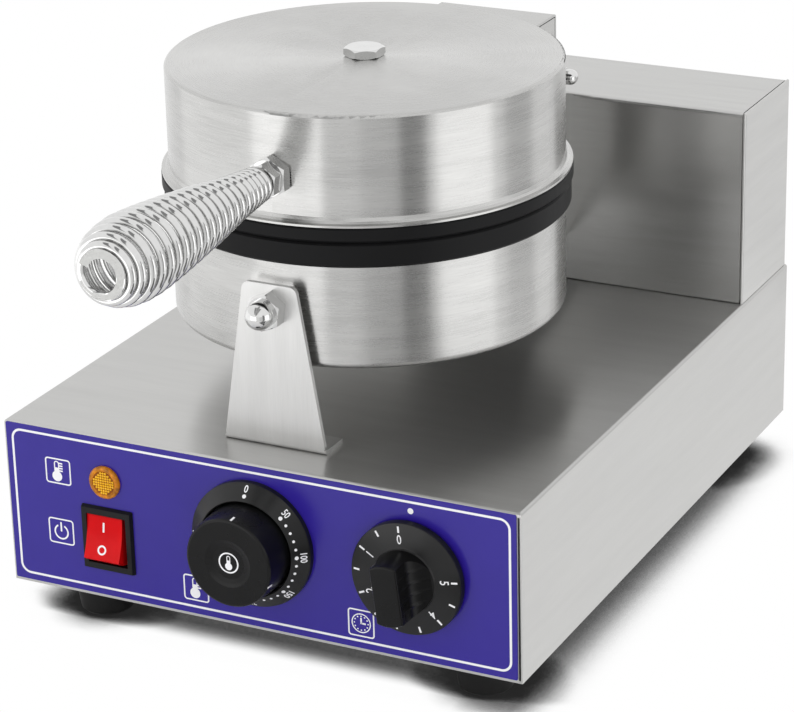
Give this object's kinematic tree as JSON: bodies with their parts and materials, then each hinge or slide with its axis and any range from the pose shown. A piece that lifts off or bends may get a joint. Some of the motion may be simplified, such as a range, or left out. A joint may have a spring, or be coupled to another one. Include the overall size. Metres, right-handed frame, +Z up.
{
  "type": "waffle cone maker",
  "caption": "Electric waffle cone maker: round baking drum with a hinged lid and coil handle on a steel base with a control panel and a rear wiring housing.",
  "frame": {"origin": "centre of the overall bounding box's underside, on the surface the feet stand on", "axes": "+Z up, -Y towards the user and the control panel, +X to the right of a user who faces the panel"},
  "size_m": [0.25, 0.4429, 0.251],
  "materials": {
    "casing_steel": "satin stainless sheet, grain from front to back",
    "housing_steel": "satin stainless sheet, grain from side to side",
    "drum_steel": "satin stainless, grain round the drum",
    "bracket_steel": "satin stainless, upright grain",
    "plate_coating": "cast aluminium with a black non-stick coating",
    "chrome": "bright",
    "fastener_steel": "bright zinc plate",
    "panel_print": "blue-violet film with white line work",
    "dial_black": "satin black with white print",
    "knob_black": "satin black",
    "switch_black": "satin black",
    "rocker_red": "gloss translucent red with white marks",
    "lens_amber": "translucent amber",
    "foot_rubber": "matte black",
    "gland_black": "matte black",
    "heater_steel": "dull, heat tinted",
    "insulation": "ceramic fibre",
    "terminal_white": "matte",
    "regulator": "moulded housing",
    "shaft_steel": "plain"
  },
  "bodies": {
    "base": {"base_shell": "casing_steel", "bottom_plate": "casing_steel", "back_panel": "casing_steel", "rear_housing": "housing_steel", "rear_cover_left": "housing_steel", "rear_cover_right": "housing_steel", "bottom_screws": "fastener_steel", "foot_screws": "fastener_steel", "housing_screws": "fastener_steel", "hinge_bracket_screws": "fastener_steel", "bracket_screws": "fastener_steel", "foot_front_left": "foot_rubber", "foot_front_right": "foot_rubber", "foot_rear_left": "foot_rubber", "foot_rear_right": "foot_rubber", "panel_label": "panel_print", "switch_housing": "switch_black", "lamp_lens": "lens_amber", "lamp_holder": "switch_black", "thermostat_scale": "dial_black", "thermostat_body": "regulator", "thermostat_sensor": "shaft_steel", "timer_body": "regulator", "terminal_block": "terminal_white", "cable_gland": "gland_black", "gland_nut": "gland_black", "front_bracket": "bracket_steel", "front_spacer": "fastener_steel", "front_stud": "fastener_steel", "front_cap_nut": "chrome", "lower_shell": "drum_steel", "lower_plate": "plate_coating", "lower_heater": "heater_steel", "lower_clamp_disc": "fastener_steel", "lower_insulation": "insulation", "lower_center_bolt": "fastener_steel", "conduit": "bracket_steel", "hinge_bracket": "bracket_steel", "hinge_pin": "fastener_steel", "hinge_washers": "fastener_steel", "hinge_cap_nuts": "chrome"},
    "lid": {"upper_shell": "drum_steel", "upper_plate": "plate_coating", "upper_heater": "heater_steel", "upper_clamp_disc": "fastener_steel", "upper_insulation": "insulation", "lid_center_bolt": "chrome", "hinge_arm": "housing_steel", "hinge_arm_cover": "housing_steel", "arm_cover_screws": "fastener_steel", "arm_screws": "fastener_steel", "handle_nut": "chrome", "handle_stud": "fastener_steel", "handle_spring": "chrome"},
    "thermostat_dial": {"thermostat_knob": "knob_black", "thermostat_shaft": "shaft_steel"},
    "timer_dial": {"timer_knob": "dial_black", "timer_shaft": "shaft_steel"},
    "rocker": {"switch_rocker": "rocker_red"}
  },
  "joints": [
    {"name": "lid_hinge", "type": "hinge", "parent": "base", "child": "lid", "pos_m": [0, 0.1385, 0.2035], "axis": [-1, 0, 0], "range_deg": [0, 96]},
    {"name": "thermostat_turn", "type": "hinge", "parent": "base", "child": "thermostat_dial", "pos_m": [-0.0007, -0.12, 0.0616], "axis": [0, 1, 0], "range_deg": [0, 270]},
    {"name": "timer_turn", "type": "hinge", "parent": "base", "child": "timer_dial", "pos_m": [0.0742, -0.12, 0.0608], "axis": [0, 1, 0], "range_deg": [0, 270]},
    {"name": "switch_rock", "type": "hinge", "parent": "base", "child": "rocker", "pos_m": [-0.074, -0.1085, 0.0492], "axis": [1, 0, 0], "range_deg": [0, 28]}
  ]
}
